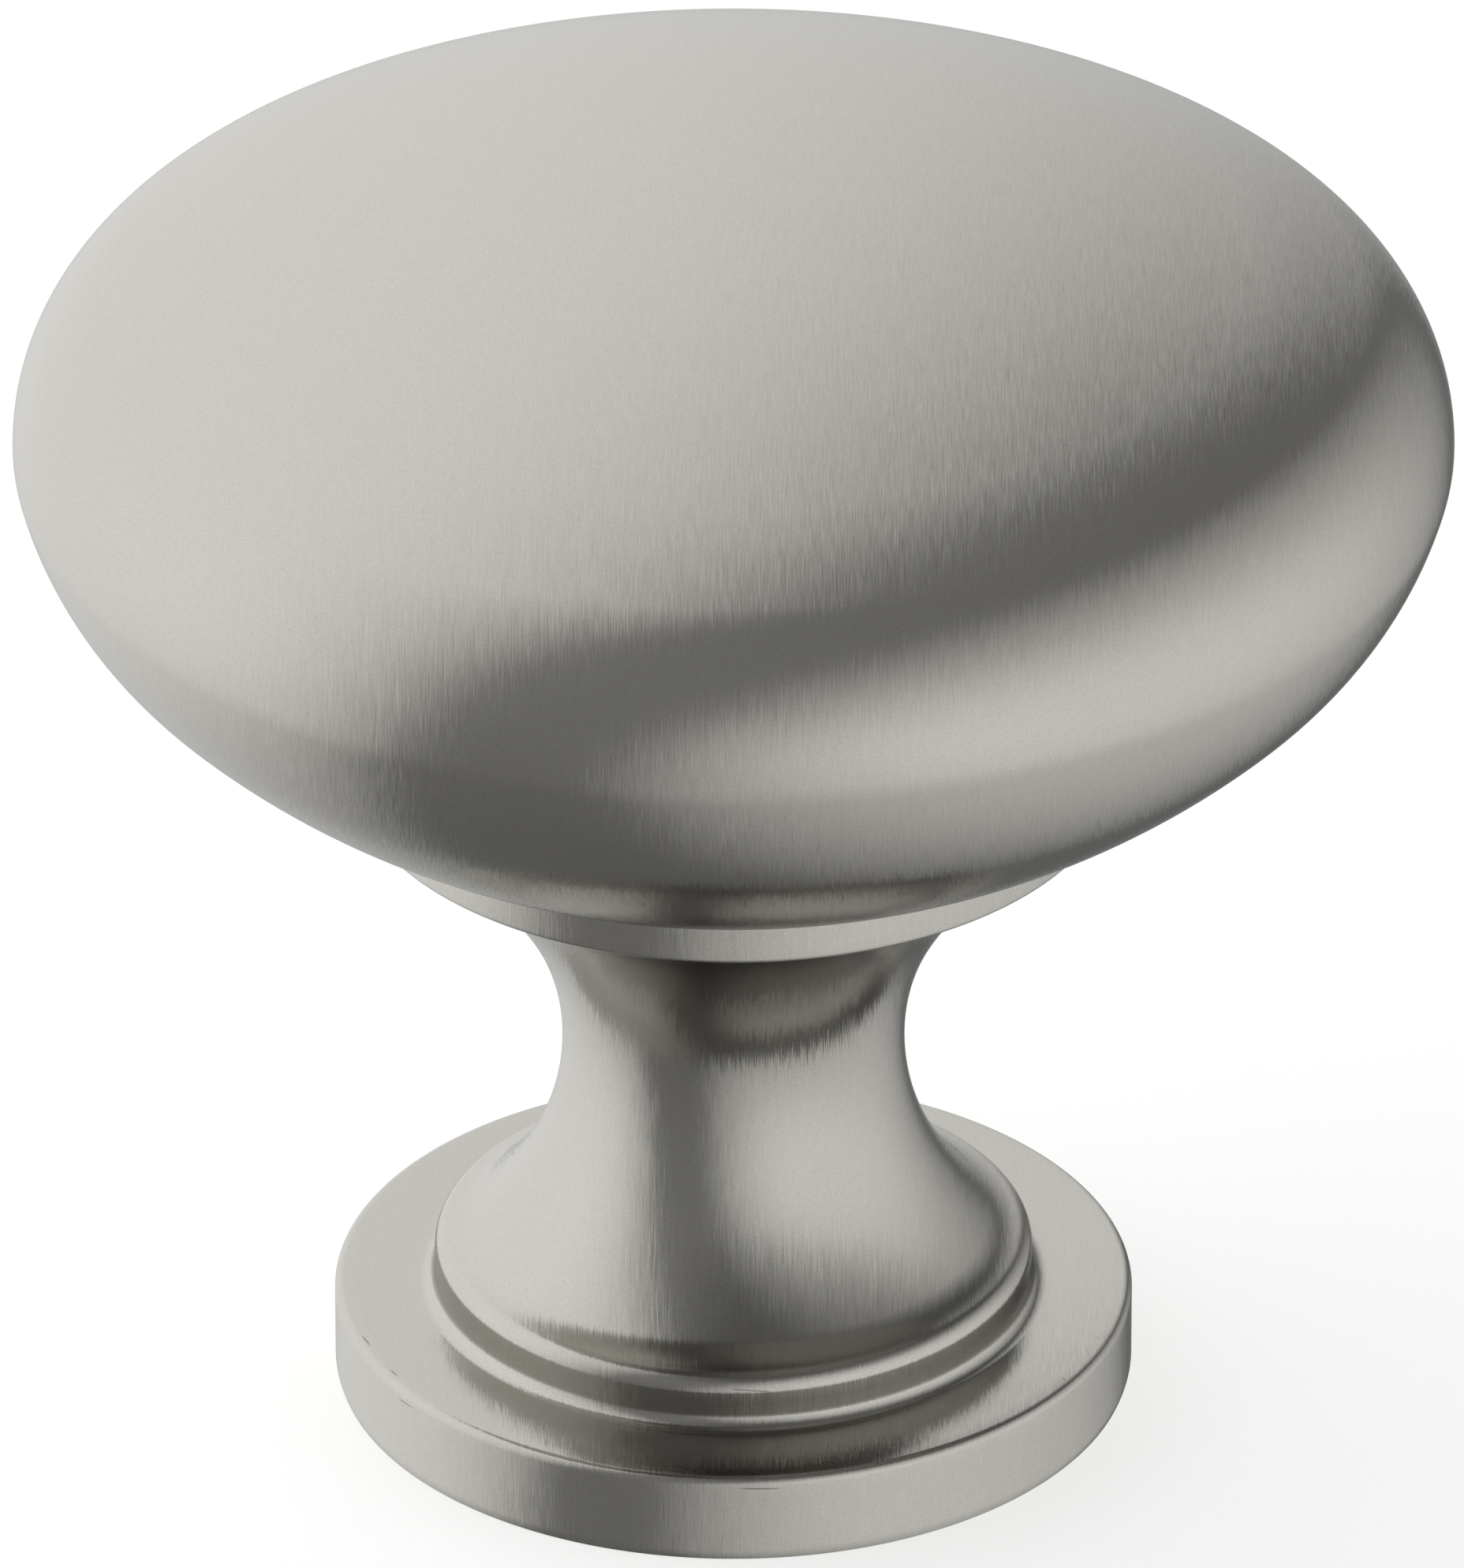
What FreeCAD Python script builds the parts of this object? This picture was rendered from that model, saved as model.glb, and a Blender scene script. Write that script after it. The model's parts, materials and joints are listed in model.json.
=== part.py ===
"""Cabinet knob: one casting with a lens-shaped head, a collar, a waisted stem and a round base.

Millimetres, +Z up. The origin is the centre of the underside of the base, where the knob
meets the drawer front, and the Z axis is the axis of the tapped hole.
"""
import FreeCAD, Part
import math
import os

import Sketcher

# Driving sizes in millimetres, from the underside of the base upwards
SIZES = {
    "base_diameter": 18.0,
    "base_thickness": 2.1,
    "base_edge_radius": 0.2,
    "base_ease_height": 0.26,
    "base_ease_depth": 0.06,
    "ledge_width": 2.26,
    "cove_radius": 0.34,
    "foot_height": 1.24,
    "foot_edge_radius": 0.445,
    "heel_reach": 0.98,
    "heel_rise": 0.45,
    "flare_height": 5.11,
    "waist_diameter": 7.69,
    "neck_radius": 6.1,
    "neck_rise": 2.88,
    "collar_rise": 6.64,
    "collar_diameter": 17.1,
    "collar_thickness": 0.95,
    "collar_edge_radius": 0.15,
    "belly_rise": 7.61,
    "head_diameter": 32.0,
    "flank_drop": 3.75,
    "flank_radius": 7.45,
    "lip_drop": 0.46,
    "lip_radius": 1.82,
    "shoulder_radius": 3.9,
    "crown_rise": 6.55,
    "seat_rim_width": 2.0,
    "relief_depth": 0.3,
    "bore_diameter": 3.46,
    "bore_depth": 12.0,
    "bore_chamfer": 0.45,
    "drill_point_angle": 118.0,
}

NODE = "knob_body"


def total(*names):
    """Return the sum of the named sizes, as a number and as text for a constraint."""
    number = sum(SIZES[name] for name in names)
    text = " + ".join("Sizes." + name for name in names)
    return number, text


def radius_of(name, *taken_off):
    """Return half of a diameter less the named widths, as a number and as text."""
    number = SIZES[name] / 2 - sum(SIZES[width] for width in taken_off)
    text = "Sizes." + name + " / 2" + "".join(" - Sizes." + width for width in taken_off)
    return number, text


def less(height, name):
    """Return a height less one named size, as a number and as text."""
    return height[0] - SIZES[name], height[1] + " - Sizes." + name


# Heights of the places where one form hands over to the next
BASE_TOP = total("base_thickness")
FOOT_EDGE = total("base_thickness", "foot_height")
HEEL_TOP = total("base_thickness", "foot_height", "heel_rise")
WAIST = total("base_thickness", "foot_height", "flare_height")
NECK_TOP = total("base_thickness", "foot_height", "flare_height", "neck_rise")
COLLAR_EDGE = total("base_thickness", "foot_height", "flare_height", "collar_rise")
COLLAR_TOP = total("base_thickness", "foot_height", "flare_height", "collar_rise", "collar_thickness")
RIM = total("base_thickness", "foot_height", "flare_height", "collar_rise", "collar_thickness",
            "belly_rise")
CROWN = total("base_thickness", "foot_height", "flare_height", "collar_rise", "collar_thickness",
              "belly_rise", "crown_rise")
LIP_END = less(RIM, "lip_drop")
FLANK_END = less(RIM, "flank_drop")

# Radii from the axis
BASE_RADIUS = radius_of("base_diameter")
FOOT_RADIUS = radius_of("base_diameter", "ledge_width")
HEEL_RADIUS = radius_of("base_diameter", "ledge_width", "heel_reach")
RELIEF_RADIUS = radius_of("base_diameter", "seat_rim_width")
WAIST_RADIUS = radius_of("waist_diameter")
COLLAR_RADIUS = radius_of("collar_diameter")
HEAD_RADIUS = radius_of("head_diameter")
BORE_RADIUS = radius_of("bore_diameter")


def write_sizes(doc):
    """Put every driving size into the sheet under its own name."""
    sheet = doc.addObject("Spreadsheet::Sheet", "Sizes")
    for row, (name, number) in enumerate(SIZES.items(), start=1):
        sheet.set("A%d" % row, name)
        sheet.set("B%d" % row, str(number))
        sheet.setAlias("B%d" % row, name)
    doc.recompute()


class Outline:
    """A closed chain of lines and arcs in one sketch, drawn beside the axis."""

    def __init__(self, body, name):
        self.sketch = body.newObject("Sketcher::SketchObject", name)
        plane = [item for item in body.Origin.OriginFeatures if item.Role == "XZ_Plane"][0]
        self.sketch.AttachmentSupport = [(plane, "")]
        self.sketch.MapMode = "FlatFace"
        self.pieces = []
        self.place = None

    def start(self, x, z):
        self.place = (x, z)

    def line(self, x, z):
        """Draw a straight run to a point and return its number in the sketch."""
        ends = [FreeCAD.Vector(self.place[0], self.place[1], 0), FreeCAD.Vector(x, z, 0)]
        piece = self.sketch.addGeometry(Part.LineSegment(ends[0], ends[1]), False)
        self.join(piece, 1, 2)
        self.place = (x, z)
        return piece

    def arc(self, x, z, centre):
        """Draw the shorter arc about a centre to a point and return its number."""
        first = math.atan2(self.place[1] - centre[1], self.place[0] - centre[0])
        last = math.atan2(z - centre[1], x - centre[0])
        radius = math.hypot(x - centre[0], z - centre[1])
        turn = (last - first + math.pi) % (2 * math.pi) - math.pi
        circle = Part.Circle(FreeCAD.Vector(centre[0], centre[1], 0), FreeCAD.Vector(0, 0, 1), radius)
        if turn > 0:
            piece = self.sketch.addGeometry(Part.ArcOfCircle(circle, first, first + turn), False)
            self.join(piece, 1, 2)
        else:
            piece = self.sketch.addGeometry(Part.ArcOfCircle(circle, last, last - turn), False)
            self.join(piece, 2, 1)
        self.place = (x, z)
        return piece

    def join(self, piece, begins, ends):
        """Tie the start of a new piece to the end of the one before."""
        if self.pieces:
            before = self.pieces[-1]
            self.rule("Coincident", before[0], before[2], piece, begins)
        self.pieces.append((piece, begins, ends))

    def close(self):
        """Tie the last piece to the first."""
        last = self.pieces[-1]
        first = self.pieces[0]
        self.rule("Coincident", last[0], last[2], first[0], first[1])

    def rule(self, kind, *where):
        return self.sketch.addConstraint(Sketcher.Constraint(kind, *where))

    def size(self, kind, name, number_and_text, *where):
        """Add a sized constraint, bound to the sheet."""
        number, text = number_and_text
        self.sketch.addConstraint(Sketcher.Constraint(kind, *where, number))
        self.sketch.renameConstraint(self.sketch.ConstraintCount - 1, name)
        self.sketch.setExpression("Constraints." + name, text)

    def tangent(self, one, other):
        """Make two neighbouring pieces meet smoothly at the point they share."""
        first, second = sorted((one, other))
        joined = (first, self.end_of(first), second, self.start_of(second))
        for index, row in enumerate(self.sketch.Constraints):
            shared = (row.First, row.FirstPos, row.Second, row.SecondPos)
            if row.Type == "Coincident" and shared == joined:
                self.sketch.delConstraint(index)
                break
        self.rule("Tangent", *joined)

    def start_of(self, piece):
        return [row[1] for row in self.pieces if row[0] == piece][0]

    def end_of(self, piece):
        return [row[2] for row in self.pieces if row[0] == piece][0]

    def across(self, name, number_and_text, piece, end):
        """Set how far the start (1) or end (2) of a piece is from the axis."""
        vertex = self.start_of(piece) if end == 1 else self.end_of(piece)
        self.size("DistanceX", name, number_and_text, -1, 1, piece, vertex)

    def above(self, name, number_and_text, piece, end):
        """Set how high the start (1) or end (2) of a piece is."""
        vertex = self.start_of(piece) if end == 1 else self.end_of(piece)
        self.size("DistanceY", name, number_and_text, -1, 1, piece, vertex)

    def level_with_centre(self, piece, end):
        """Make an arc upright at its start (1) or end (2), which lies level with its centre."""
        vertex = self.start_of(piece) if end == 1 else self.end_of(piece)
        self.rule("Horizontal", piece, 3, piece, vertex)

    def start_on_axis(self, piece):
        """Keep the start of a piece on the axis."""
        self.rule("PointOnObject", piece, self.start_of(piece), -2)

    def centre_on_axis(self, piece):
        """Keep the centre of an arc on the axis."""
        self.rule("PointOnObject", piece, 3, -2)


def through(start, normal, finish):
    """Return the centre of the arc that leaves a point square to a normal and ends at another."""
    run = (finish[0] - start[0], finish[1] - start[1])
    radius = (run[0] ** 2 + run[1] ** 2) / (2 * (normal[0] * run[0] + normal[1] * run[1]))
    return start[0] + radius * normal[0], start[1] + radius * normal[1]


def draw_base(body):
    """Round flange: flat underside, eased lower edge, upright wall and flat top."""
    ease_height = SIZES["base_ease_height"]
    ease_depth = SIZES["base_ease_depth"]
    ease_radius = (ease_height ** 2 + ease_depth ** 2) / (2 * ease_depth)
    outline = Outline(body, "base_outline")
    outline.start(0, 0)
    underside = outline.line(BASE_RADIUS[0] - ease_depth, 0)
    ease = outline.arc(BASE_RADIUS[0], ease_height, (BASE_RADIUS[0] - ease_radius, ease_height))
    wall = outline.line(BASE_RADIUS[0], BASE_TOP[0])
    top = outline.line(0, BASE_TOP[0])
    axis = outline.line(0, 0)
    outline.close()
    outline.tangent(ease, wall)
    outline.rule("Coincident", underside, 1, -1, 1)
    outline.rule("Horizontal", underside)
    outline.rule("Vertical", wall)
    outline.rule("Horizontal", top)
    outline.rule("Vertical", axis)
    outline.across("underside_radius", radius_of("base_diameter", "base_ease_depth"), underside, 2)
    outline.across("base_radius", BASE_RADIUS, wall, 2)
    outline.above("ease_top", total("base_ease_height"), wall, 1)
    outline.above("base_top", BASE_TOP, wall, 2)
    return outline.sketch


def draw_stem(body):
    """Coved foot, heel, concave flare, waist, neck that opens out to the collar, and the collar."""
    cove = SIZES["cove_radius"]
    neck = SIZES["neck_radius"]
    cove_out = (FOOT_RADIUS[0] + cove, FOOT_RADIUS[1] + " + Sizes.cove_radius")
    cove_top = total("base_thickness", "cove_radius")
    swing = math.asin(SIZES["neck_rise"] / neck)
    neck_centre = (WAIST_RADIUS[0] + neck, WAIST[0])
    neck_end = (neck_centre[0] - neck * math.cos(swing), NECK_TOP[0])
    collar_edge = (COLLAR_RADIUS[0], COLLAR_EDGE[0])
    waist = (WAIST_RADIUS[0], WAIST[0])
    heel = (HEEL_RADIUS[0], HEEL_TOP[0])
    flare_centre = through(waist, (1, 0), heel)
    flare = flare_centre[0] - waist[0]
    heel_normal = ((flare_centre[0] - heel[0]) / flare, (flare_centre[1] - heel[1]) / flare)
    heel_centre = through(heel, heel_normal, (FOOT_RADIUS[0], FOOT_EDGE[0]))
    opening_centre = through(neck_end, (math.cos(swing), -math.sin(swing)), collar_edge)

    outline = Outline(body, "stem_outline")
    outline.start(0, BASE_TOP[0])
    seat = outline.line(cove_out[0], BASE_TOP[0])
    cove_arc = outline.arc(FOOT_RADIUS[0], cove_top[0], (cove_out[0], cove_top[0]))
    foot_wall = outline.line(FOOT_RADIUS[0], FOOT_EDGE[0])
    heel_arc = outline.arc(heel[0], heel[1], heel_centre)
    flare_arc = outline.arc(waist[0], waist[1], flare_centre)
    neck_arc = outline.arc(neck_end[0], neck_end[1], neck_centre)
    opening = outline.arc(collar_edge[0], collar_edge[1], opening_centre)
    collar_wall = outline.line(COLLAR_RADIUS[0], COLLAR_TOP[0])
    collar_face = outline.line(0, COLLAR_TOP[0])
    axis = outline.line(0, BASE_TOP[0])
    outline.close()
    outline.start_on_axis(seat)
    outline.rule("Horizontal", seat)
    outline.rule("Vertical", foot_wall)
    outline.rule("Vertical", collar_wall)
    outline.rule("Horizontal", collar_face)
    outline.rule("Vertical", axis)
    outline.tangent(seat, cove_arc)
    outline.tangent(cove_arc, foot_wall)
    outline.tangent(heel_arc, flare_arc)
    outline.level_with_centre(flare_arc, 2)
    outline.level_with_centre(neck_arc, 1)
    outline.tangent(neck_arc, opening)
    outline.above("base_top", BASE_TOP, seat, 1)
    outline.size("Radius", "cove", total("cove_radius"), cove_arc)
    outline.across("foot_radius", FOOT_RADIUS, foot_wall, 2)
    outline.above("foot_edge", FOOT_EDGE, foot_wall, 2)
    outline.across("heel_radius", HEEL_RADIUS, heel_arc, 2)
    outline.above("heel_top", HEEL_TOP, heel_arc, 2)
    outline.across("waist_radius", WAIST_RADIUS, flare_arc, 2)
    outline.above("waist", WAIST, flare_arc, 2)
    outline.size("Radius", "neck", total("neck_radius"), neck_arc)
    outline.above("neck_top", NECK_TOP, neck_arc, 2)
    outline.across("collar_radius", COLLAR_RADIUS, opening, 2)
    outline.above("collar_edge", COLLAR_EDGE, opening, 2)
    outline.above("collar_top", COLLAR_TOP, collar_wall, 2)
    return outline.sketch


def draw_head(body):
    """Lens: belly, flank and lip below the widest place, shoulder and crown above it."""
    lip = SIZES["lip_radius"]
    flank = SIZES["flank_radius"]
    shoulder = SIZES["shoulder_radius"]
    widest = (HEAD_RADIUS[0], RIM[0])
    lip_centre = (HEAD_RADIUS[0] - lip, RIM[0])
    lip_slope = math.asin(SIZES["lip_drop"] / lip)
    lip_end = (lip_centre[0] + lip * math.cos(lip_slope), LIP_END[0])
    flank_centre = (lip_end[0] - flank * math.cos(lip_slope), lip_end[1] + flank * math.sin(lip_slope))
    flank_slope = math.asin((flank_centre[1] - FLANK_END[0]) / flank)
    flank_end = (flank_centre[0] + flank * math.cos(flank_slope), FLANK_END[0])
    seat_edge = (COLLAR_RADIUS[0], COLLAR_TOP[0])
    belly_centre = through(flank_end, (-math.cos(flank_slope), math.sin(flank_slope)), seat_edge)

    shoulder_centre = (HEAD_RADIUS[0] - shoulder, RIM[0])
    rise = SIZES["crown_rise"]
    crown = (shoulder_centre[0] ** 2 + rise ** 2 - shoulder ** 2) / (2 * (rise - shoulder))
    crown_centre = (0, CROWN[0] - crown)
    reach = (shoulder_centre[0] - crown_centre[0], shoulder_centre[1] - crown_centre[1])
    stretch = crown / math.hypot(reach[0], reach[1])
    shoulder_end = (crown_centre[0] + reach[0] * stretch, crown_centre[1] + reach[1] * stretch)

    outline = Outline(body, "head_outline")
    outline.start(0, COLLAR_TOP[0])
    seat = outline.line(seat_edge[0], seat_edge[1])
    belly_arc = outline.arc(flank_end[0], flank_end[1], belly_centre)
    flank_arc = outline.arc(lip_end[0], lip_end[1], flank_centre)
    lip_arc = outline.arc(widest[0], widest[1], lip_centre)
    shoulder_arc = outline.arc(shoulder_end[0], shoulder_end[1], shoulder_centre)
    crown_arc = outline.arc(0, CROWN[0], crown_centre)
    axis = outline.line(0, COLLAR_TOP[0])
    outline.close()
    outline.start_on_axis(seat)
    outline.rule("Horizontal", seat)
    outline.rule("Vertical", axis)
    outline.tangent(belly_arc, flank_arc)
    outline.tangent(flank_arc, lip_arc)
    outline.level_with_centre(lip_arc, 2)
    outline.level_with_centre(shoulder_arc, 1)
    outline.tangent(shoulder_arc, crown_arc)
    outline.centre_on_axis(crown_arc)
    outline.across("seat_radius", COLLAR_RADIUS, seat, 2)
    outline.above("seat_height", COLLAR_TOP, seat, 2)
    outline.above("flank_end", FLANK_END, belly_arc, 2)
    outline.size("Radius", "flank", total("flank_radius"), flank_arc)
    outline.above("lip_end", LIP_END, flank_arc, 2)
    outline.size("Radius", "lip", total("lip_radius"), lip_arc)
    outline.across("head_radius", HEAD_RADIUS, lip_arc, 2)
    outline.above("rim", RIM, lip_arc, 2)
    outline.size("Radius", "shoulder", total("shoulder_radius"), shoulder_arc)
    outline.above("crown", CROWN, crown_arc, 2)
    return outline.sketch


def draw_relief(body):
    """Shallow hollow in the underside, so that the knob seats on its outer rim."""
    outline = Outline(body, "relief_outline")
    outline.start(0, 0)
    mouth = outline.line(RELIEF_RADIUS[0], 0)
    side = outline.line(RELIEF_RADIUS[0], SIZES["relief_depth"])
    roof = outline.line(0, SIZES["relief_depth"])
    axis = outline.line(0, 0)
    outline.close()
    outline.rule("Coincident", mouth, 1, -1, 1)
    outline.rule("Horizontal", mouth)
    outline.rule("Vertical", side)
    outline.rule("Horizontal", roof)
    outline.rule("Vertical", axis)
    outline.across("relief_radius", RELIEF_RADIUS, mouth, 2)
    outline.above("relief_depth", total("relief_depth"), side, 2)
    return outline.sketch


def draw_bore(body):
    """Tapping hole with a chamfered mouth in the hollow and the cone that its drill leaves."""
    slope = math.radians(SIZES["drill_point_angle"] / 2)
    mouth_radius = (BORE_RADIUS[0] + SIZES["bore_chamfer"], BORE_RADIUS[1] + " + Sizes.bore_chamfer")
    relief = total("relief_depth")
    chamfer_top = total("relief_depth", "bore_chamfer")
    bottom = total("bore_depth")
    point = (bottom[0] + BORE_RADIUS[0] / math.tan(slope),
             bottom[1] + " + (" + BORE_RADIUS[1] + ") / tan(Sizes.drill_point_angle / 2)")
    outline = Outline(body, "bore_outline")
    outline.start(0, relief[0])
    mouth = outline.line(mouth_radius[0], relief[0])
    chamfer = outline.line(BORE_RADIUS[0], chamfer_top[0])
    wall = outline.line(BORE_RADIUS[0], bottom[0])
    cone = outline.line(0, point[0])
    axis = outline.line(0, relief[0])
    outline.close()
    outline.start_on_axis(mouth)
    outline.rule("Horizontal", mouth)
    outline.rule("Vertical", wall)
    outline.rule("Vertical", axis)
    outline.above("hollow", relief, mouth, 2)
    outline.across("mouth_radius", mouth_radius, mouth, 2)
    outline.above("chamfer_top", chamfer_top, chamfer, 2)
    outline.across("bore_radius", BORE_RADIUS, wall, 2)
    outline.above("bottom", bottom, wall, 2)
    outline.above("point", point, cone, 2)
    return outline.sketch


def turn(body, kind, name, sketch):
    """Spin an outline round the axis, to add metal or to cut it away."""
    feature = body.newObject("PartDesign::" + kind, name)
    feature.Profile = sketch
    feature.ReferenceAxis = (sketch, ["V_Axis"])
    feature.Angle = 360.0
    return feature


def circle_at(shape, radius, height):
    """Return the name of the round edge that has this radius at this height, to within 0.1 micrometre."""
    slack = 0.0001
    for number, edge in enumerate(shape.Edges, start=1):
        box = edge.BoundBox
        flat = box.ZLength < slack and abs(box.ZMax - height) < slack
        if flat and abs(box.XLength / 2 - radius) < slack:
            return "Edge%d" % number
    raise ValueError("no round edge of radius %.3f at height %.3f" % (radius, height))


def round_edges(doc, body, before):
    """Round the three outside edges: base, foot and collar."""
    edges = [
        ("base_edge", BASE_RADIUS[0], BASE_TOP[0], "base_edge_radius"),
        ("foot_edge", FOOT_RADIUS[0], FOOT_EDGE[0], "foot_edge_radius"),
        ("collar_edge", COLLAR_RADIUS[0], COLLAR_EDGE[0], "collar_edge_radius"),
    ]
    for name, radius, height, size in edges:
        fillet = body.newObject("PartDesign::Fillet", name)
        fillet.Base = (before, [circle_at(before.Shape, radius, height)])
        fillet.setExpression("Radius", "Sizes." + size)
        doc.recompute()
        before = fillet


def make_knob(doc):
    """Add up the base, the stem with its collar and the head, then cut the underside."""
    body = doc.addObject("PartDesign::Body", NODE)
    body.Label = NODE
    body.Placement = FreeCAD.Placement()
    turn(body, "Revolution", "base", draw_base(body))
    turn(body, "Revolution", "stem", draw_stem(body))
    head = turn(body, "Revolution", "head", draw_head(body))
    doc.recompute()
    round_edges(doc, body, head)
    for name, sketch in (("relief", draw_relief(body)), ("bore", draw_bore(body))):
        metal = body.Shape.Volume
        turn(body, "Groove", name, sketch)
        doc.recompute()
        if body.Shape.Volume >= metal:
            raise ValueError(name + " cut nothing")
    return body


def check(doc, body):
    """Stop on a failed feature or a body that is not one closed solid."""
    for item in doc.Objects:
        if "Invalid" in item.State or "Error" in item.State:
            raise ValueError("failed: " + item.Name)
    shape = body.Shape
    if shape.isNull() or not shape.isValid() or len(shape.Solids) != 1:
        raise ValueError("not one valid solid: " + body.Label)


def main():
    os.makedirs("parts", exist_ok=True)
    doc = FreeCAD.newDocument("cabinet_knob")
    write_sizes(doc)
    knob = make_knob(doc)
    doc.recompute()
    check(doc, knob)
    knob.Shape.exportStep("parts/" + knob.Label + ".step")
    box = knob.Shape.optimalBoundingBox()
    print("%s: %.2f x %.2f x %.2f mm, %.1f mm3" % (
        knob.Label, box.XLength, box.YLength, box.ZLength, knob.Shape.Volume))


main()
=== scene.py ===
"""Cabinet knob in brushed satin nickel, standing on its base in a light tent with two soft panels."""
import json
import math

import bmesh
import bpy
from mathutils import Matrix, Vector


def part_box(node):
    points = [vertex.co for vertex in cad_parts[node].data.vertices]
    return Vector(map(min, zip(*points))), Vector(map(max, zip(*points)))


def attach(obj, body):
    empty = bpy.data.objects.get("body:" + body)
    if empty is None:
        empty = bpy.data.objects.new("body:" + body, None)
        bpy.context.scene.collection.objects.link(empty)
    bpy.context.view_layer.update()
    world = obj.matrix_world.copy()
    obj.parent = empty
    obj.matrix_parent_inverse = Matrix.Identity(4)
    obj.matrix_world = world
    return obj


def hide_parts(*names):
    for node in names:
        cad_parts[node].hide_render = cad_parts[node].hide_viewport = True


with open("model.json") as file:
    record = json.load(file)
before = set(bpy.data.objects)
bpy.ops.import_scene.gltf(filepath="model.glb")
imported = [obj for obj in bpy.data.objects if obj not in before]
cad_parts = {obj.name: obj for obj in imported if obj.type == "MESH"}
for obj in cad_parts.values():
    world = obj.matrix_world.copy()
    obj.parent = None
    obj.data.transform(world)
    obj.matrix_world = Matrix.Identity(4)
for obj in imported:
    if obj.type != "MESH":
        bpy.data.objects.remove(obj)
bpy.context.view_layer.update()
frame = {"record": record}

MM = 0.001

# The photograph's frame in pixels, and the column that the knob's axis lies on
FRAME_WIDTH = 1856
FRAME_HEIGHT = 1988
AXIS_COLUMN = 929.9
PIXELS_PER_MM = 56.71

# Camera: its distance from the point it aims at on the axis, and its angle above the horizon
CAMERA_DISTANCE = 600.0 * MM
CAMERA_ELEVATION = math.radians(29.3)
AIM_HEIGHT = 14.83 * MM
SENSOR = 36.0

# Outline of the knob, from the underside of the base upwards
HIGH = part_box("knob_body")[1]
SCREW_HOLE = [mount for mount in frame["record"]["mounts"] if mount["name"] == "screw_hole"][0]
BASE_RADIUS = 9.0 * MM
BASE_TOP = 2.1 * MM
BASE_EDGE = 0.2 * MM
EASE_HEIGHT = 0.26 * MM
EASE_DEPTH = 0.06 * MM
FOOT_RADIUS = BASE_RADIUS - 2.26 * MM
COVE = 0.34 * MM
FOOT_TOP = BASE_TOP + 1.24 * MM
FOOT_EDGE = 0.445 * MM
HEEL_RADIUS = FOOT_RADIUS - 0.98 * MM
HEEL_TOP = FOOT_TOP + 0.45 * MM
WAIST_RADIUS = 3.845 * MM
WAIST = FOOT_TOP + 5.11 * MM
NECK = 6.1 * MM
NECK_TOP = WAIST + 2.88 * MM
COLLAR_RADIUS = 8.55 * MM
COLLAR_BOTTOM = WAIST + 6.64 * MM
COLLAR_TOP = COLLAR_BOTTOM + 0.95 * MM
COLLAR_EDGE = 0.15 * MM
HEAD_RADIUS = HIGH.x
RIM = COLLAR_TOP + 7.61 * MM
FLANK_END = RIM - 3.75 * MM
FLANK = 7.45 * MM
LIP_END = RIM - 0.46 * MM
LIP = 1.82 * MM
SHOULDER = 3.9 * MM
BROW_START = math.radians(60.7)
BROW_END = math.radians(70.0)
CROWN = HIGH.z
RELIEF_RADIUS = 7.0 * MM
RELIEF_DEPTH = 0.3 * MM
BORE_RADIUS = SCREW_HOLE["dims"]["r_mm"] * MM
BORE_MOUTH = SCREW_HOLE["pos_m"][2]
BORE_END = BORE_MOUTH + SCREW_HOLE["dims"]["length_mm"] * MM
CHAMFER = BORE_MOUTH - RELIEF_DEPTH
DRILL_SLOPE = math.radians(59.0)

# Thread of the screw hole, number 8 with 32 turns to the inch. The ridge's crest is at the bore's radius, and
# its root is sunk a little way into the wall
PITCH = 25.4 / 32 * MM
THREAD_ROOT = 2.083 * MM
THREAD_START = BORE_MOUTH + 0.2 * MM
THREAD_TURNS = 12
THREAD_END = THREAD_START + (THREAD_TURNS + 0.5) * PITCH
RIDGE_FOOT = 0.347 * MM
RIDGE_CREST = 0.143 * MM
RIDGE_SUNK = 0.03 * MM
THREAD_STEPS = 48

TURN_STEPS = 240
CREASE = math.radians(25.0)

# Tent: its radius, the glow of its cloth, and how that leans towards the left, the front and the top
TENT_RADIUS = 450.0 * MM
CLOTH = 0.171
CLOTH_LEAN = (-0.037, -0.022, 0.035)

# Table: half its width, its white, and what it glows for the camera on top of the light that falls on it
TABLE_REACH = 800.0 * MM
TABLE_WHITE = (0.8, 0.8, 0.8, 1.0)
TABLE_GLOW = 0.58

# Scrim beside the stem: its height, how far out it reaches and thins, the share of light it takes, the
# bearing that it lies towards and how soon it ends on either side of that
SCRIM_HEIGHT = 10.0 * MM
SCRIM_EDGE = 17.5 * MM
SCRIM_FADE = 7.0 * MM
SCRIM_LOSS = 0.46
SCRIM_BEARING = 60.0
SCRIM_TURN = 2.0

# Thin dark lines along the edges, each from one end to the other in millimetres
DARK_LINE_WIDTH = 0.02 * MM
DARK_LINE_STRENGTH = 0.65
DARK_LINES = [
    ((-8.38, -2.63, 2.1), (-8.14, -3.18, 2.1)),
    ((-7.72, -4.16, 2.1), (-7.52, -4.51, 2.1)),
    ((-7.79, -4.59, 1.79), (-6.99, -5.71, 1.84)),
    ((-0.08, -9.02, 1.87), (1.24, -8.93, 1.82)),
    ((-0.21, -6.73, 3.11), (0.96, -6.69, 3.0)),
    ((8.08, -2.62, 2.1), (8.38, -3.04, 2.07)),
    ((7.37, -4.51, 2.1), (7.47, -4.72, 2.1)),
]

# Nickel plate: its colour, how rough it is, and the share of painted shade that darkens the metal where it is
# seen mirrored in the metal itself
NICKEL = (0.584, 0.571, 0.527)
NICKEL_ROUGHNESS = 0.19
PAINTED_REFLECTION_SHADE = 0.4

# How far a surface faces sideways before its brush lines change over, and how soon they have changed
SIDE_FACING = 0.84
SIDE_CHANGE = 12.0


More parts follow.
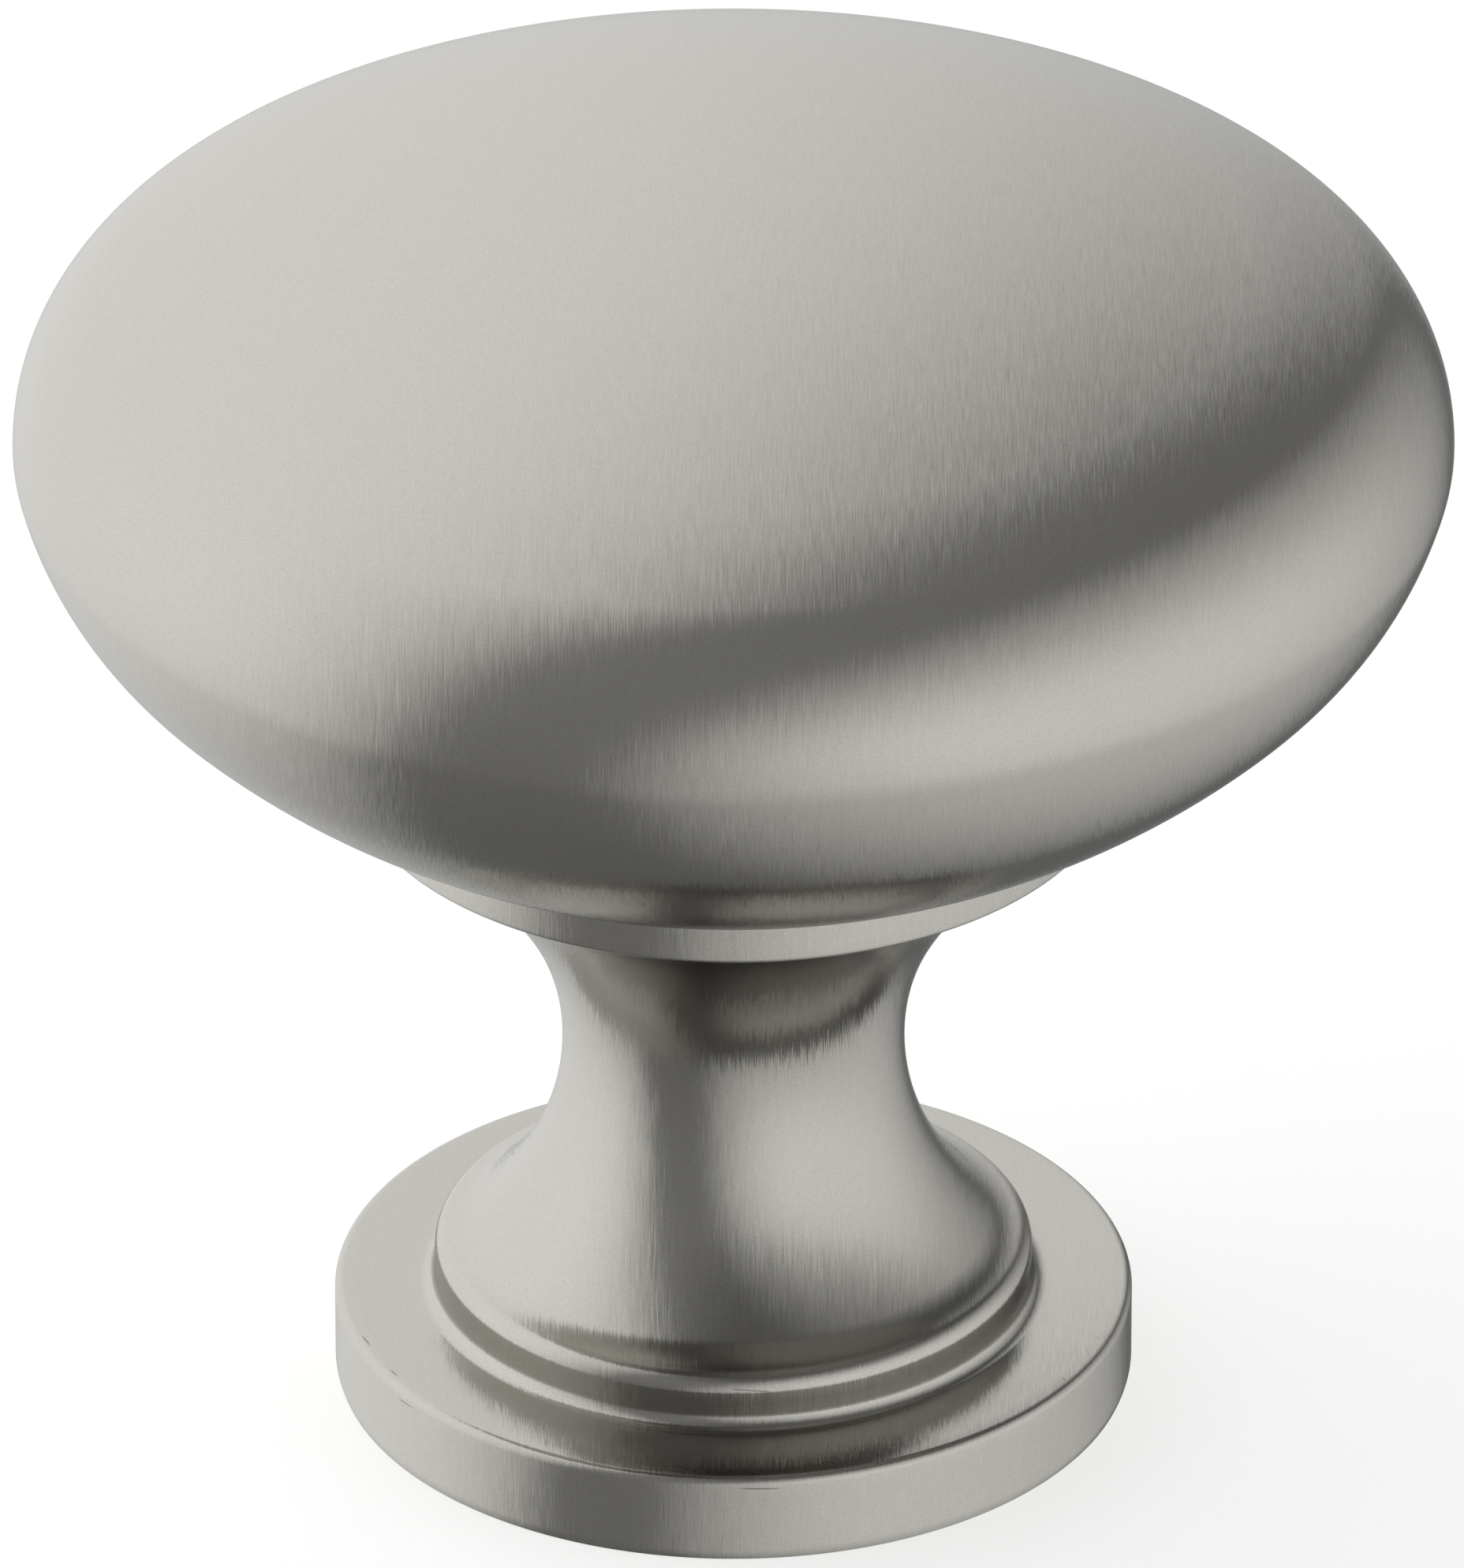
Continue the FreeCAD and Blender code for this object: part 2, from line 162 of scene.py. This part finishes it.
class Outline:
    """Section drawn beside the axis, one vertex and edge at a time, to be spun round it."""

    def __init__(self, mesh, x, z):
        self.mesh = mesh
        self.tip = mesh.verts.new((x, 0.0, z))

    def line(self, x, z, steps=1):
        """Draw a straight run to a point."""
        start = self.tip.co.copy()
        for step in range(1, steps + 1):
            self.tip = bmesh.ops.extrude_vert_indiv(self.mesh, verts=[self.tip])["verts"][0]
            self.tip.co = start.lerp(Vector((x, 0.0, z)), step / steps)

    def arc(self, x, z, centre, steps):
        """Draw the shorter arc about a centre, as far as the direction of a point."""
        first = math.atan2(self.tip.co.z - centre[1], self.tip.co.x - centre[0])
        last = math.atan2(z - centre[1], x - centre[0])
        turn = (last - first + math.pi) % (2 * math.pi) - math.pi
        made = bmesh.ops.spin(self.mesh, geom=[self.tip], cent=(centre[0], 0.0, centre[1]),
                              axis=(0.0, -1.0, 0.0), angle=turn, steps=steps)
        self.tip = made["geom_last"][0]


def through(start, normal, finish):
    """Return centre and radius of the arc that leaves a point square to a normal and ends at another."""
    run = (finish[0] - start[0], finish[1] - start[1])
    radius = (run[0] ** 2 + run[1] ** 2) / (2 * (normal[0] * run[0] + normal[1] * run[1]))
    return (start[0] + radius * normal[0], start[1] + radius * normal[1]), radius


def edge_round(wall, size, centre, radius, side):
    """Return the centre of the small round between an upright wall and an arc that curls away from it."""
    across = wall - size
    rise = math.sqrt((radius + size) ** 2 - (centre[0] - across) ** 2)
    return across, centre[1] + side * rise


def draw_base(outline):
    """Eased lower edge, upright wall, rounded upper edge and flat top of the base."""
    ease = (EASE_HEIGHT ** 2 + EASE_DEPTH ** 2) / (2 * EASE_DEPTH)
    outline.line(BASE_RADIUS - EASE_DEPTH, 0.0, steps=6)
    outline.arc(BASE_RADIUS, EASE_HEIGHT, (BASE_RADIUS - ease, EASE_HEIGHT), steps=6)
    outline.line(BASE_RADIUS, BASE_TOP - BASE_EDGE, steps=6)
    outline.arc(BASE_RADIUS - BASE_EDGE, BASE_TOP, (BASE_RADIUS - BASE_EDGE, BASE_TOP - BASE_EDGE), steps=10)
    outline.line(FOOT_RADIUS + COVE, BASE_TOP, steps=6)


def draw_stem(outline):
    """Coved foot, heel, flare, waist, neck and collar."""
    flare_centre, flare = through((WAIST_RADIUS, WAIST), (1, 0), (HEEL_RADIUS, HEEL_TOP))
    heel_normal = ((flare_centre[0] - HEEL_RADIUS) / flare, (flare_centre[1] - HEEL_TOP) / flare)
    heel_centre, heel = through((HEEL_RADIUS, HEEL_TOP), heel_normal, (FOOT_RADIUS, FOOT_TOP))
    foot_round = edge_round(FOOT_RADIUS, FOOT_EDGE, heel_centre, heel, -1)
    swing = math.asin((NECK_TOP - WAIST) / NECK)
    neck_centre = (WAIST_RADIUS + NECK, WAIST)
    neck_end = (neck_centre[0] - NECK * math.cos(swing), NECK_TOP)
    collar_corner = (COLLAR_RADIUS, COLLAR_BOTTOM)
    opening_centre, opening = through(neck_end, (math.cos(swing), -math.sin(swing)), collar_corner)
    collar_round = edge_round(COLLAR_RADIUS, COLLAR_EDGE, opening_centre, opening, 1)
    outline.arc(FOOT_RADIUS, BASE_TOP + COVE, (FOOT_RADIUS + COVE, BASE_TOP + COVE), steps=10)
    outline.line(FOOT_RADIUS, foot_round[1], steps=2)
    outline.arc(*heel_centre, foot_round, steps=12)
    outline.arc(HEEL_RADIUS, HEEL_TOP, heel_centre, steps=14)
    outline.arc(WAIST_RADIUS, WAIST, flare_centre, steps=44)
    outline.arc(*neck_end, neck_centre, steps=20)
    outline.arc(*collar_round, opening_centre, steps=32)
    outline.arc(COLLAR_RADIUS, collar_round[1], collar_round, steps=8)
    outline.line(COLLAR_RADIUS, COLLAR_TOP, steps=3)


def draw_head(outline):
    """Belly, flank and lip under the widest place, then shoulder, brow and crown."""
    lip_centre = (HEAD_RADIUS - LIP, RIM)
    lip_slope = math.asin((RIM - LIP_END) / LIP)
    lip_end = (lip_centre[0] + LIP * math.cos(lip_slope), LIP_END)
    flank_centre = (lip_end[0] - FLANK * math.cos(lip_slope), lip_end[1] + FLANK * math.sin(lip_slope))
    flank_slope = math.asin((flank_centre[1] - FLANK_END) / FLANK)
    flank_end = (flank_centre[0] + FLANK * math.cos(flank_slope), FLANK_END)
    normal = (-math.cos(flank_slope), math.sin(flank_slope))
    belly_centre, belly = through(flank_end, normal, (COLLAR_RADIUS, COLLAR_TOP))
    shoulder_centre = (HEAD_RADIUS - SHOULDER, RIM)
    shoulder_end = (shoulder_centre[0] + SHOULDER * math.cos(BROW_START),
                    RIM + SHOULDER * math.sin(BROW_START))
    last_rise = math.tan((math.pi / 2 - BROW_END) / 2)
    brow_run = math.cos(BROW_START) - math.cos(BROW_END)
    brow_rise = math.sin(BROW_END) - math.sin(BROW_START)
    brow = (CROWN - shoulder_end[1] - shoulder_end[0] * last_rise) / (brow_rise - brow_run * last_rise)
    brow_centre = (shoulder_end[0] - brow * math.cos(BROW_START),
                   shoulder_end[1] - brow * math.sin(BROW_START))
    brow_end = (shoulder_end[0] - brow * brow_run, shoulder_end[1] + brow * brow_rise)
    crown = brow_end[0] / math.cos(BROW_END)
    crown_centre = (0.0, CROWN - crown)
    outline.arc(*flank_end, belly_centre, steps=50)
    outline.arc(*lip_end, flank_centre, steps=30)
    outline.arc(HEAD_RADIUS, RIM, lip_centre, steps=8)
    outline.arc(*shoulder_end, shoulder_centre, steps=38)
    outline.arc(*brow_end, brow_centre, steps=16)
    outline.arc(0.0, CROWN, crown_centre, steps=42)


def drawn_lines(mesh):
    """Return the vertices and edges that no face uses yet."""
    return [part for part in mesh.verts[:] + mesh.edges[:] if not part.link_faces]


def spin_round(mesh):
    """Turn the drawn outline through a full circle and close its seam and poles."""
    bmesh.ops.spin(mesh, geom=drawn_lines(mesh), cent=(0.0, 0.0, 0.0), axis=(0.0, 0.0, 1.0),
                   angle=2 * math.pi, steps=TURN_STEPS, use_merge=True)
    bmesh.ops.remove_doubles(mesh, verts=mesh.verts[:], dist=0.001 * MM)


def make_object(mesh, name):
    """Put a finished mesh into the scene as an object."""
    data = bpy.data.meshes.new(name)
    mesh.to_mesh(data)
    mesh.free()
    made = bpy.data.objects.new(name, data)
    bpy.context.scene.collection.objects.link(made)
    return made


def finish_mesh(mesh, name):
    """Point the faces outwards, keep true corners crisp and return the mesh as an object."""
    bmesh.ops.recalc_face_normals(mesh, faces=mesh.faces[:])
    for face in mesh.faces:
        face.smooth = True
    for edge in mesh.edges:
        edge.smooth = edge.calc_face_angle(0.0) < CREASE
    return make_object(mesh, name)


def cut_thread(mesh):
    """Wind the thread's ridge up the wall of the screw hole and close its two ends."""
    sunk = THREAD_ROOT + RIDGE_SUNK
    ridge = Outline(mesh, sunk, THREAD_START - RIDGE_FOOT)
    first = ridge.tip
    ridge.line(THREAD_ROOT, THREAD_START - RIDGE_FOOT)
    ridge.line(BORE_RADIUS, THREAD_START - RIDGE_CREST)
    ridge.line(BORE_RADIUS, THREAD_START + RIDGE_CREST)
    ridge.line(THREAD_ROOT, THREAD_START + RIDGE_FOOT)
    ridge.line(sunk, THREAD_START + RIDGE_FOOT)
    bmesh.ops.contextual_create(mesh, geom=[ridge.tip, first])
    bmesh.ops.spin(mesh, geom=drawn_lines(mesh), cent=(0.0, 0.0, 0.0), axis=(0.0, 0.0, 1.0),
                   dvec=(0.0, 0.0, PITCH / THREAD_STEPS), angle=2 * math.pi * THREAD_TURNS,
                   steps=THREAD_STEPS * THREAD_TURNS)
    bmesh.ops.holes_fill(mesh, edges=mesh.edges[:], sides=6)


def make_knob():
    """Spin the casting from one outline: tapped hole, relief, base, stem, collar and head."""
    mesh = bmesh.new()
    cut_thread(mesh)
    outline = Outline(mesh, 0.0, BORE_END + BORE_RADIUS / math.tan(DRILL_SLOPE))
    outline.line(BORE_RADIUS, BORE_END, steps=3)
    outline.line(BORE_RADIUS, THREAD_END + THREAD_ROOT - BORE_RADIUS)
    outline.line(THREAD_ROOT, THREAD_END)
    outline.line(THREAD_ROOT, BORE_MOUTH - THREAD_ROOT + BORE_RADIUS, steps=3)
    outline.line(BORE_RADIUS + CHAMFER, RELIEF_DEPTH)
    outline.line(RELIEF_RADIUS, RELIEF_DEPTH, steps=4)
    outline.line(RELIEF_RADIUS, 0.0)
    draw_base(outline)
    draw_stem(outline)
    draw_head(outline)
    spin_round(mesh)
    return finish_mesh(mesh, "knob_casting")


def place(tree, kind, **settings):
    """Add a node and set its own options."""
    node = tree.nodes.new(kind)
    for name, value in settings.items():
        setattr(node, name, value)
    return node


def feed(tree, source, socket):
    """Join a socket to another, or set its value."""
    if isinstance(source, bpy.types.NodeSocket):
        tree.links.new(source, socket)
    else:
        socket.default_value = source


def reckon(tree, operation, *terms, **settings):
    """Add a math node and return its result."""
    node = place(tree, "ShaderNodeMath", operation=operation, **settings)
    for term, socket in zip(terms, node.inputs):
        feed(tree, term, socket)
    return node.outputs["Value"]


def reckon_vector(tree, operation, *terms):
    """Add a vector math node and return the node."""
    node = place(tree, "ShaderNodeVectorMath", operation=operation)
    for term, socket in zip(terms, node.inputs):
        feed(tree, term, socket)
    return node


def new_group(name, inputs, outputs):
    """Start a node group with named sockets and return it with its two ends."""
    group = bpy.data.node_groups.new(name, "ShaderNodeTree")
    for label, kind, value in inputs:
        socket = group.interface.new_socket(label, in_out="INPUT", socket_type="NodeSocket" + kind)
        if value is not None:
            socket.default_value = value
    for label, kind in outputs:
        group.interface.new_socket(label, in_out="OUTPUT", socket_type="NodeSocket" + kind)
    return group, place(group, "NodeGroupInput").outputs, place(group, "NodeGroupOutput").inputs


def use_group(tree, group, **values):
    """Put a group into a material with its own values, each named as its socket is."""
    node = place(tree, "ShaderNodeGroup", node_tree=group)
    for name, value in values.items():
        feed(tree, value, node.inputs[name.replace("_", " ").capitalize()])
    return node.outputs


def new_material(name):
    """Start a material and return it with its node tree and output."""
    material = bpy.data.materials.new(name)
    material.use_nodes = True
    tree = material.node_tree
    tree.nodes.clear()
    return material, tree, place(tree, "ShaderNodeOutputMaterial").inputs["Surface"]


def brush_lines(group, spot, rates):
    """Noise drawn out into lines, by how fast it changes along X, Y and Z."""
    scale = place(group, "ShaderNodeCombineXYZ")
    for socket, rate in zip(scale.inputs, rates):
        feed(group, rate, socket)
    stretched = reckon_vector(group, "MULTIPLY", spot, scale.outputs["Vector"])
    lines = place(group, "ShaderNodeTexNoise")
    lines.inputs["Scale"].default_value = 1.0
    lines.inputs["Detail"].default_value = 1.0
    lines.inputs["Roughness"].default_value = 0.6
    feed(group, stretched.outputs["Vector"], lines.inputs["Vector"])
    return lines.outputs["Color"]


def brushing_group():
    """Fine straight brush lines, each tipping the surface a little its own way: they lie along Y and Z, and
    along X and Z where the surface faces sideways."""
    group, given, result = new_group(
        "brushing",
        [("Line width", "Float", 0.03 * MM), ("Line length", "Float", 1.0 * MM), ("Tilt", "Float", 0.1)],
        [("Normal", "Vector")])
    spot = place(group, "ShaderNodeTexCoord").outputs["Object"]
    facing = place(group, "ShaderNodeNewGeometry").outputs["Normal"]
    across = reckon(group, "DIVIDE", 1.0, given["Line width"])
    along = reckon(group, "DIVIDE", 1.0, given["Line length"])
    front = brush_lines(group, spot, (across, along, along))
    side = brush_lines(group, spot, (along, across, along))
    parts = place(group, "ShaderNodeSeparateXYZ")
    feed(group, facing, parts.inputs["Vector"])
    sideways = reckon(group, "ABSOLUTE", parts.outputs["X"])
    turned = reckon(group, "MULTIPLY", reckon(group, "SUBTRACT", sideways, SIDE_FACING), SIDE_CHANGE,
                    use_clamp=True)
    change = reckon_vector(group, "SCALE", reckon_vector(group, "SUBTRACT", side, front).outputs["Vector"])
    feed(group, turned, change.inputs["Scale"])
    both = reckon_vector(group, "ADD", front, change.outputs["Vector"]).outputs["Vector"]
    swing = reckon_vector(group, "SUBTRACT", both, (0.5, 0.5, 0.5)).outputs["Vector"]
    tilt = reckon_vector(group, "SCALE", swing)
    feed(group, given["Tilt"], tilt.inputs["Scale"])
    tipped = reckon_vector(group, "ADD", facing, tilt.outputs["Vector"]).outputs["Vector"]
    feed(group, reckon_vector(group, "NORMALIZE", tipped).outputs["Vector"], result["Normal"])
    return group


def grain_group():
    """Close, even grain of the plated surface, as a tone a little above or below one."""
    group, given, result = new_group("grain", [("Size", "Float", 0.03 * MM), ("Amount", "Float", 0.1)],
                                     [("Tone", "Float")])
    speckle = place(group, "ShaderNodeTexNoise")
    speckle.inputs["Detail"].default_value = 1.0
    feed(group, place(group, "ShaderNodeTexCoord").outputs["Object"], speckle.inputs["Vector"])
    feed(group, reckon(group, "DIVIDE", 1.0, given["Size"]), speckle.inputs["Scale"])
    swing = reckon(group, "MULTIPLY", reckon(group, "SUBTRACT", speckle.outputs["Fac"], 0.5), given["Amount"])
    feed(group, reckon(group, "ADD", 1.0, swing), result["Tone"])
    return group


def dark_line_group():
    """One thin dark line as a mask: full on its line, widest halfway along and nothing at its ends."""
    group, given, result = new_group(
        "dark_line", [("Start", "Vector", None), ("End", "Vector", None), ("Width", "Float", 0.03 * MM)],
        [("Mask", "Float")])
    spot = place(group, "ShaderNodeTexCoord").outputs["Object"]
    run = reckon_vector(group, "SUBTRACT", given["End"], given["Start"]).outputs["Vector"]
    reach = reckon_vector(group, "SUBTRACT", spot, given["Start"]).outputs["Vector"]
    along = reckon_vector(group, "DOT_PRODUCT", reach, run).outputs["Value"]
    whole = reckon_vector(group, "DOT_PRODUCT", run, run).outputs["Value"]
    share = reckon(group, "DIVIDE", along, whole, use_clamp=True)
    nearest = reckon_vector(group, "SCALE", run)
    feed(group, share, nearest.inputs["Scale"])
    gap = reckon_vector(group, "DISTANCE", reach, nearest.outputs["Vector"]).outputs["Value"]
    halves = reckon(group, "MULTIPLY", share, reckon(group, "SUBTRACT", 1.0, share))
    reached = reckon(group, "DIVIDE", gap, given["Width"])
    inside = reckon(group, "SUBTRACT", reckon(group, "MULTIPLY", halves, 4.0), reached)
    feed(group, reckon(group, "MULTIPLY", inside, 2.0, use_clamp=True), result["Mask"])
    return group


def soft_panel_group():
    """Light of one big soft panel, seen in a direction: full at its middle, fading to nothing at its edge."""
    group, given, result = new_group(
        "soft_panel",
        [("Direction", "Vector", None), ("Facing", "Vector", None), ("Upright", "Vector", None),
         ("Sideways", "Vector", None), ("Height", "Float", 0.0), ("Width", "Float", 0.0),
         ("Edge", "Float", 0.1), ("Spread", "Float", 1.0), ("Fade", "Float", 2.0), ("Light", "Float", 1.0)],
        [("Light", "Float")])
    inside = reckon_vector(group, "DOT_PRODUCT", given["Direction"], given["Facing"]).outputs["Value"]
    for axis, stretch in (("Upright", "Height"), ("Sideways", "Width")):
        reach = reckon_vector(group, "DOT_PRODUCT", given["Direction"], given[axis]).outputs["Value"]
        squared = reckon(group, "MULTIPLY", reach, reach)
        inside = reckon(group, "ADD", inside, reckon(group, "MULTIPLY", squared, given[stretch]))
    share = reckon(group, "DIVIDE", reckon(group, "SUBTRACT", inside, given["Edge"]), given["Spread"],
                   use_clamp=True)
    dim = reckon(group, "POWER", reckon(group, "SUBTRACT", 1.0, share), given["Fade"])
    feed(group, reckon(group, "MULTIPLY", given["Light"], reckon(group, "SUBTRACT", 1.0, dim)),
         result["Light"])
    return group


def satin_nickel():
    """Brushed satin nickel: warm grey metal with fine brush lines, a close grain and thin dark lines on its
    edges, and painted shade where it is mirrored in the metal itself.
    """
    material, tree, surface = new_material("satin_nickel")
    shader = place(tree, "ShaderNodeBsdfPrincipled")
    shader.inputs["Metallic"].default_value = 1.0
    brushed = use_group(tree, brushing_group(), line_width=0.012 * MM, line_length=0.8 * MM, tilt=0.2)
    feed(tree, brushed["Normal"], shader.inputs["Normal"])
    speckled = use_group(tree, grain_group(), size=0.028 * MM, amount=0.42)
    # Painted shade: the nickel's colour is darkened for glossy rays, so the metal looks darker where it is
    # mirrored in the metal itself
    lost = reckon(tree, "MULTIPLY", place(tree, "ShaderNodeLightPath").outputs["Is Glossy Ray"], PAINTED_REFLECTION_SHADE)
    tone = reckon(tree, "MULTIPLY", speckled["Tone"], reckon(tree, "SUBTRACT", 1.0, lost))
    dark_line = dark_line_group()
    # The nickel's colour is made darker along each of these thin lines on the edges
    for start, end in DARK_LINES:
        line_mask = use_group(tree, dark_line, start=MM * Vector(start), end=MM * Vector(end), width=DARK_LINE_WIDTH)
        shade = reckon(tree, "MULTIPLY", line_mask["Mask"], DARK_LINE_STRENGTH)
        tone = reckon(tree, "MULTIPLY", tone, reckon(tree, "SUBTRACT", 1.0, shade))
    colour = reckon_vector(tree, "SCALE", NICKEL)
    feed(tree, tone, colour.inputs["Scale"])
    feed(tree, colour.outputs["Vector"], shader.inputs["Base Color"])
    shader.inputs["Roughness"].default_value = NICKEL_ROUGHNESS
    feed(tree, shader.outputs["BSDF"], surface)
    return material


def bearing(azimuth, elevation):
    """Return the unit vector at an angle round from the camera's side and an angle above the horizon."""
    turn, rise = math.radians(azimuth), math.radians(elevation)
    return Vector((math.cos(rise) * math.sin(turn), -math.cos(rise) * math.cos(turn), math.sin(rise)))


def panel_axes(azimuth, elevation, roll):
    """Return which way a panel lies from the knob, and its own upright and sideways directions."""
    facing = bearing(azimuth, elevation)
    turn = Matrix.Rotation(math.radians(roll), 3, facing)
    sideways = Vector((0.0, 0.0, 1.0)).cross(facing).normalized()
    return {"facing": facing, "upright": turn @ facing.cross(sideways), "sideways": turn @ sideways}


def tent_light():
    """Inside of the tent: dim cloth, a large soft panel on either side, and what the right one spills."""
    material, tree, surface = new_material("tent_light")
    spot = place(tree, "ShaderNodeTexCoord").outputs["Object"]
    direction = reckon_vector(tree, "NORMALIZE", spot).outputs["Vector"]
    group = soft_panel_group()
    left = use_group(tree, group, direction=direction, **panel_axes(-124.9, 15.1, -34.7), height=0.467,
                     width=0.521, edge=0.639, spread=0.413, fade=1.297, light=0.89)
    right = use_group(tree, group, direction=direction, **panel_axes(68.2, -15.3, -0.5), height=0.406,
                      width=0.533, edge=0.61, spread=0.587, fade=0.902, light=0.933)
    spill = use_group(tree, group, direction=direction, **panel_axes(57.4, -1.3, -0.5), height=-0.234,
                      width=0.316, edge=0.663, spread=0.296, fade=0.843, light=0.141)
    cloth = reckon_vector(tree, "DOT_PRODUCT", direction, CLOTH_LEAN).outputs["Value"]
    panels = reckon(tree, "ADD", left["Light"], reckon(tree, "ADD", right["Light"], spill["Light"]))
    glow = place(tree, "ShaderNodeEmission")
    feed(tree, reckon(tree, "ADD", panels, reckon(tree, "ADD", cloth, CLOTH)), glow.inputs["Color"])
    feed(tree, glow.outputs["Emission"], surface)
    material.cycles.emission_sampling = "NONE"
    return material


def make_tent():
    """Ball of cloth round the knob, which lights it and shows in the metal but not in the view."""
    mesh = bmesh.new()
    bmesh.ops.create_uvsphere(mesh, u_segments=48, v_segments=24, radius=TENT_RADIUS)
    bmesh.ops.reverse_faces(mesh, faces=mesh.faces[:])
    tent = make_object(mesh, "light_tent")
    tent.visible_camera = False
    tent.data.materials.append(tent_light())


def net_scrim():
    """Net that takes light off whatever looks up through it, thickest near the knob and only on its right."""
    material, tree, surface = new_material("net_scrim")
    spot = place(tree, "ShaderNodeTexCoord").outputs["Object"]
    out = reckon_vector(tree, "MULTIPLY", spot, (1.0, 1.0, 0.0)).outputs["Vector"]
    reach = reckon_vector(tree, "LENGTH", out).outputs["Value"]
    gathered = reckon(tree, "DIVIDE", reckon(tree, "SUBTRACT", SCRIM_EDGE, reach), SCRIM_FADE, use_clamp=True)
    heading = reckon_vector(tree, "NORMALIZE", out).outputs["Vector"]
    turned = reckon_vector(tree, "DOT_PRODUCT", heading, bearing(SCRIM_BEARING, 0.0)).outputs["Value"]
    sided = reckon(tree, "MULTIPLY", turned, SCRIM_TURN, use_clamp=True)
    below = place(tree, "ShaderNodeNewGeometry").outputs["Backfacing"]
    shade = reckon(tree, "MULTIPLY", reckon(tree, "MULTIPLY", gathered, sided), below)
    net = place(tree, "ShaderNodeBsdfTransparent")
    lost = reckon(tree, "MULTIPLY", shade, SCRIM_LOSS)
    feed(tree, reckon(tree, "SUBTRACT", 1.0, lost), net.inputs["Color"])
    feed(tree, net.outputs["BSDF"], surface)
    return material


def make_scrim():
    """Level net beside the stem, which only the flare's own reflections pass through."""
    mesh = bmesh.new()
    bmesh.ops.create_grid(mesh, x_segments=1, y_segments=1, size=SCRIM_EDGE)
    bmesh.ops.translate(mesh, verts=mesh.verts[:], vec=(0.0, 0.0, SCRIM_HEIGHT))
    scrim = make_object(mesh, "scrim")
    scrim.visible_camera = False
    scrim.visible_diffuse = False
    scrim.visible_shadow = False
    scrim.data.materials.append(net_scrim())


def pale_table():
    """White table that keeps the knob's shadow, but is clear to the metal and from below."""
    material, tree, surface = new_material("pale_table")
    path = place(tree, "ShaderNodeLightPath").outputs
    below = place(tree, "ShaderNodeNewGeometry").outputs["Backfacing"]
    clear = reckon(tree, "MAXIMUM", path["Is Glossy Ray"], path["Is Transmission Ray"])
    clear = reckon(tree, "MAXIMUM", clear, below)
    cloth = place(tree, "ShaderNodeBsdfDiffuse")
    cloth.inputs["Color"].default_value = TABLE_WHITE
    glow = place(tree, "ShaderNodeEmission")
    feed(tree, reckon(tree, "MULTIPLY", path["Is Camera Ray"], TABLE_GLOW), glow.inputs["Strength"])
    lit = place(tree, "ShaderNodeAddShader")
    feed(tree, cloth.outputs["BSDF"], lit.inputs[0])
    feed(tree, glow.outputs["Emission"], lit.inputs[1])
    mix = place(tree, "ShaderNodeMixShader")
    feed(tree, clear, mix.inputs["Fac"])
    feed(tree, lit.outputs["Shader"], mix.inputs[1])
    feed(tree, place(tree, "ShaderNodeBsdfTransparent").outputs["BSDF"], mix.inputs[2])
    feed(tree, mix.outputs["Shader"], surface)
    return material


def make_table():
    """Flat pale table top, level with the underside of the base."""
    mesh = bmesh.new()
    bmesh.ops.create_grid(mesh, x_segments=1, y_segments=1, size=TABLE_REACH)
    table = make_object(mesh, "table_top")
    table.data.materials.append(pale_table())


def white_surround():
    """White all round for the camera and for what metal and glass show."""
    world = bpy.data.worlds.new("white_surround")
    bpy.context.scene.world = world
    world.use_nodes = True
    tree = world.node_tree
    tree.nodes.clear()
    path = place(tree, "ShaderNodeLightPath").outputs
    seen = reckon(tree, "MAXIMUM", path["Is Glossy Ray"], path["Is Transmission Ray"])
    seen = reckon(tree, "MAXIMUM", seen, path["Is Camera Ray"])
    backdrop = place(tree, "ShaderNodeBackground")
    feed(tree, seen, backdrop.inputs["Strength"])
    feed(tree, backdrop.outputs["Background"], place(tree, "ShaderNodeOutputWorld").inputs["Surface"])


def make_camera():
    """Long lens in front of the knob, looking down at it."""
    data = bpy.data.cameras.new("camera")
    camera = bpy.data.objects.new("camera", data)
    bpy.context.scene.collection.objects.link(camera)
    back = bearing(0.0, math.degrees(CAMERA_ELEVATION))
    camera.location = Vector((0.0, 0.0, AIM_HEIGHT)) + CAMERA_DISTANCE * back
    camera.rotation_euler = back.to_track_quat("Z", "Y").to_euler()
    data.sensor_width = SENSOR
    data.lens = SENSOR * CAMERA_DISTANCE / MM * PIXELS_PER_MM / FRAME_HEIGHT
    data.shift_x = (FRAME_WIDTH / 2 - AXIS_COLUMN) / FRAME_HEIGHT
    bpy.context.scene.camera = camera


make_camera()
knob = make_knob()
knob.data.materials.append(satin_nickel())
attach(knob, "root")
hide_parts("knob_body")
make_tent()
make_scrim()
make_table()
white_surround()
bpy.context.scene.view_settings.view_transform = "Standard"
